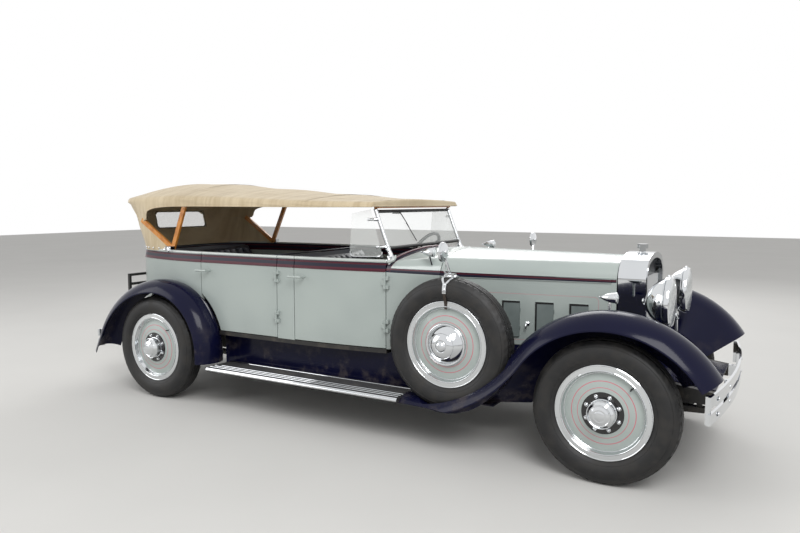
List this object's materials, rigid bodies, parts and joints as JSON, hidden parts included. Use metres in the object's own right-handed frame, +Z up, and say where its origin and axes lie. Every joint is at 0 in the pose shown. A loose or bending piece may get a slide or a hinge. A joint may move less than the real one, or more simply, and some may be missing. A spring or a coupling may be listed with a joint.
{
  "type": "vintage touring car",
  "caption": "Open four-door touring car of the 1920s with a canvas top, folding hood, side-mounted spare wheels, working doors, steering and rolling wheels.",
  "frame": {"origin": "on the ground, midway between the bumper faces, on the car's centreline", "axes": "+X to the nose, +Y to the car's left, +Z up"},
  "size_m": [5.0397, 1.8, 1.7446],
  "materials": {
    "body_paint": "gloss",
    "fender_paint": "gloss",
    "black_paint": "satin",
    "bright_metal": "polished",
    "tyre_rubber": "matt",
    "board_rubber": "ribbed",
    "canvas": "woven",
    "bow_wood": "varnished",
    "seat_leather": "pleated",
    "glass": "clear",
    "floor_mat": "matt",
    "cast_metal": "satin"
  },
  "bodies": {
    "chassis": {"bumper_front": "bright_metal", "bumper_rear": "bright_metal", "cowl": "body_paint", "cross_members": "black_paint", "dashboard": "fender_paint", "engine_block": "cast_metal", "exhaust": "cast_metal", "fenders_front": "fender_paint", "fenders_rear": "fender_paint", "floor_pan": "floor_mat", "frame_rails": "black_paint", "front_apron": "fender_paint", "front_axle_beam": "black_paint", "fuel_tank": "black_paint", "glass_panes": "glass", "headlamps": "bright_metal", "hood_rod": "bright_metal", "lamp_lenses": "glass", "leaf_springs": "black_paint", "luggage_rack": "black_paint", "mirrors": "bright_metal", "pillar_panels": "body_paint", "radiator_core": "bright_metal", "radiator_shell": "bright_metal", "rear_axle": "black_paint", "running_boards": "board_rubber", "seat_front": "seat_leather", "seat_rear": "seat_leather", "sills": "black_paint", "small_lamps": "bright_metal", "spare_tyres": "tyre_rubber", "spare_wheels": "fender_paint", "splash_aprons": "fender_paint", "tail_lamps": "bright_metal", "top_bows": "bow_wood", "top_canvas": "canvas", "top_pivots": "bright_metal", "tub_rear": "body_paint", "windshield_frame": "bright_metal"},
    "wheel_rear_right_body": {"wheel_rear_right": "fender_paint", "tyre_rear_right": "tyre_rubber"},
    "knuckle_right_body": {"knuckle_right": "cast_metal"},
    "wheel_front_right_body": {"wheel_front_right": "fender_paint", "tyre_front_right": "tyre_rubber"},
    "door_front_right_body": {"door_front_right": "body_paint"},
    "door_rear_right_body": {"door_rear_right": "body_paint"},
    "hood_top_right_body": {"hood_top_right": "body_paint"},
    "hood_side_right_body": {"hood_side_right": "body_paint"},
    "wheel_rear_left_body": {"wheel_rear_left": "fender_paint", "tyre_rear_left": "tyre_rubber"},
    "knuckle_left_body": {"knuckle_left": "cast_metal"},
    "wheel_front_left_body": {"wheel_front_left": "fender_paint", "tyre_front_left": "tyre_rubber"},
    "door_front_left_body": {"door_front_left": "body_paint"},
    "door_rear_left_body": {"door_rear_left": "body_paint"},
    "hood_top_left_body": {"hood_top_left": "body_paint"},
    "hood_side_left_body": {"hood_side_left": "body_paint"},
    "tie_rod_body": {"tie_rod": "black_paint"},
    "steering_wheel_body": {"steering_wheel": "black_paint"}
  },
  "joints": [
    {"name": "wheel_rear_right_spin", "type": "hinge", "parent": "chassis", "child": "wheel_rear_right_body", "pos_m": [-1.67, -0.76, 0.413], "axis": [0, 1, 0], "continuous": true},
    {"name": "steer_right", "type": "hinge", "parent": "chassis", "child": "knuckle_right_body", "pos_m": [1.899, -0.64, 0.413], "axis": [0, 0, 1], "range_deg": [-30, 30]},
    {"name": "wheel_front_right_spin", "type": "hinge", "parent": "knuckle_right_body", "child": "wheel_front_right_body", "pos_m": [1.899, -0.74, 0.413], "axis": [0, 1, 0], "continuous": true},
    {"name": "door_front_right_swing", "type": "hinge", "parent": "chassis", "child": "door_front_right_body", "pos_m": [0.402, -0.663, 0.85], "axis": [0, 0, 1], "range_deg": [0, 70]},
    {"name": "door_rear_right_swing", "type": "hinge", "parent": "chassis", "child": "door_rear_right_body", "pos_m": [-0.491, -0.724, 0.85], "axis": [0, 0, 1], "range_deg": [0, 70]},
    {"name": "hood_top_right_lift", "type": "hinge", "parent": "chassis", "child": "hood_top_right_body", "pos_m": [0.72, 0, 1.2485], "axis": [-0.9999, 0, 0.0124], "range_deg": [0, 20]},
    {"name": "hood_side_right_fold", "type": "hinge", "parent": "hood_top_right_body", "child": "hood_side_right_body", "pos_m": [0.726, -0.46759, 1.112], "axis": [0.9886, 0.1505, 0], "range_deg": [0, 20]},
    {"name": "wheel_rear_left_spin", "type": "hinge", "parent": "chassis", "child": "wheel_rear_left_body", "pos_m": [-1.67, 0.76, 0.413], "axis": [0, 1, 0], "continuous": true},
    {"name": "steer_left", "type": "hinge", "parent": "chassis", "child": "knuckle_left_body", "pos_m": [1.899, 0.64, 0.413], "axis": [0, 0, 1], "range_deg": [-30, 30]},
    {"name": "wheel_front_left_spin", "type": "hinge", "parent": "knuckle_left_body", "child": "wheel_front_left_body", "pos_m": [1.899, 0.74, 0.413], "axis": [0, 1, 0], "continuous": true},
    {"name": "door_front_left_swing", "type": "hinge", "parent": "chassis", "child": "door_front_left_body", "pos_m": [0.402, 0.663, 0.85], "axis": [0, 0, -1], "range_deg": [0, 70]},
    {"name": "door_rear_left_swing", "type": "hinge", "parent": "chassis", "child": "door_rear_left_body", "pos_m": [-0.491, 0.724, 0.85], "axis": [0, 0, -1], "range_deg": [0, 70]},
    {"name": "hood_top_left_lift", "type": "hinge", "parent": "chassis", "child": "hood_top_left_body", "pos_m": [0.72, 0, 1.2485], "axis": [0.9999, 0, -0.0124], "range_deg": [0, 20]},
    {"name": "hood_side_left_fold", "type": "hinge", "parent": "hood_top_left_body", "child": "hood_side_left_body", "pos_m": [0.726, 0.46759, 1.112], "axis": [-0.9886, 0.1505, 0], "range_deg": [0, 20]},
    {"name": "tie_rod_pivot", "type": "hinge", "parent": "knuckle_left_body", "child": "tie_rod_body", "pos_m": [1.749, 0.64, 0.33], "axis": [0, 0, 1], "range_deg": [-30, 30]},
    {"name": "steering_wheel_turn", "type": "hinge", "parent": "chassis", "child": "steering_wheel_body", "pos_m": [0.175, 0.33, 1.13], "axis": [0.848, 0, -0.5299], "range_deg": [-360, 360]}
  ],
  "couplings": [
    {"joint": "hood_side_right_fold", "follows": "hood_top_right_lift", "ratio": 1},
    {"joint": "hood_side_left_fold", "follows": "hood_top_left_lift", "ratio": 1},
    {"joint": "steer_right", "follows": "steer_left", "ratio": 1},
    {"joint": "tie_rod_pivot", "follows": "steer_left", "ratio": -1},
    {"joint": "steering_wheel_turn", "follows": "steer_left", "ratio": -12}
  ]
}
